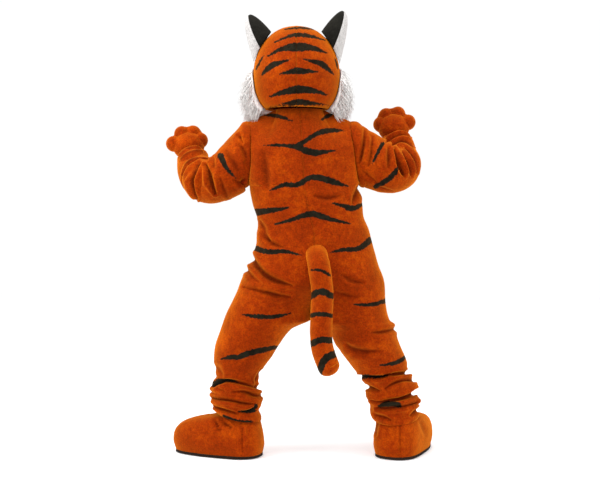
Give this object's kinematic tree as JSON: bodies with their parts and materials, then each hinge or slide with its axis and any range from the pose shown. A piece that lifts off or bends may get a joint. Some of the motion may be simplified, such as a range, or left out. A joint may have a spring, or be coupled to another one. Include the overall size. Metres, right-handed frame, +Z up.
{
  "type": "tiger mascot costume",
  "caption": "Full-body tiger mascot costume in orange plush with black stripes, hollow head with white cheek fur, mitts, boots and tail, held as worn.",
  "frame": {"origin": "middle of the shoulder line between the two shoulder tips, where the wearer's shoulders hold the suit up", "axes": "+Z up, -Y to the wearer's front, +X to the wearer's left"},
  "size_m": [1.1638, 0.5548, 1.8524],
  "materials": {
    "orange_plush": "short-pile orange plush with black tiger stripes",
    "white_fur": "long and short white faux fur",
    "black_plush": "short-pile black plush",
    "black_sole": "matt dark sole sheet",
    "white_eye": "smooth white eye with a dark pupil"
  },
  "bodies": {
    "root": {"back_left": "orange_plush", "back_right": "orange_plush", "front_left": "orange_plush", "front_right": "orange_plush", "sleeve_left": "orange_plush", "sleeve_right": "orange_plush", "mitt_left": "orange_plush", "mitt_right": "orange_plush", "boot_left": "orange_plush", "boot_right": "orange_plush", "tail": "orange_plush", "head_left": "orange_plush", "head_right": "orange_plush", "sole_left": "black_sole", "sole_right": "black_sole", "ear_back_left": "black_plush", "ear_back_right": "black_plush", "ear_front_left": "white_fur", "ear_front_right": "white_fur", "ruff_left": "white_fur", "ruff_right": "white_fur", "muzzle": "white_fur", "nose": "black_plush", "eye_left": "white_eye", "eye_right": "white_eye"}
  },
  "joints": []
}
